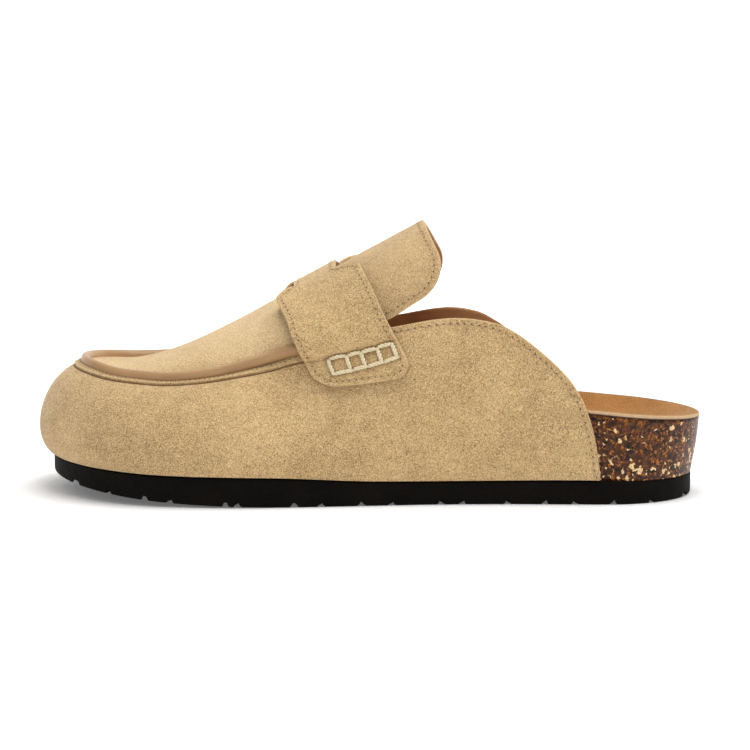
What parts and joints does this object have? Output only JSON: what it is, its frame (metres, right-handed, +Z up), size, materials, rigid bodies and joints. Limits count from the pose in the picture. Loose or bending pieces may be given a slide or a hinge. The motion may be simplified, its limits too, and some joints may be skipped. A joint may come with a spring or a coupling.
{
  "type": "clog slipper",
  "caption": "Backless loafer-style clog slipper in suede with a piped apron seam, penny strap, raised tongue, cupped cork footbed and flat foam outsole.",
  "frame": {"origin": "on the floor, under the middle of the shoe's bounding box", "axes": "-X towards the toe, +X towards the heel, -Y towards the outer side of the foot, +Z up"},
  "size_m": [0.2684, 0.1068, 0.109],
  "materials": {
    "foam": "matt near-black moulded foam",
    "cork": "dark cork granules under clear lacquer",
    "insole": "brown suede",
    "suede": "tan suede",
    "tongue": "tan suede",
    "strap": "tan suede with cream thread",
    "piping": "smooth tan leather, satin"
  },
  "bodies": {
    "root": {"outsole": "foam", "footbed": "cork", "insole": "insole", "upper": "suede", "tongue": "tongue", "strap": "strap", "piping": "piping"}
  },
  "joints": []
}
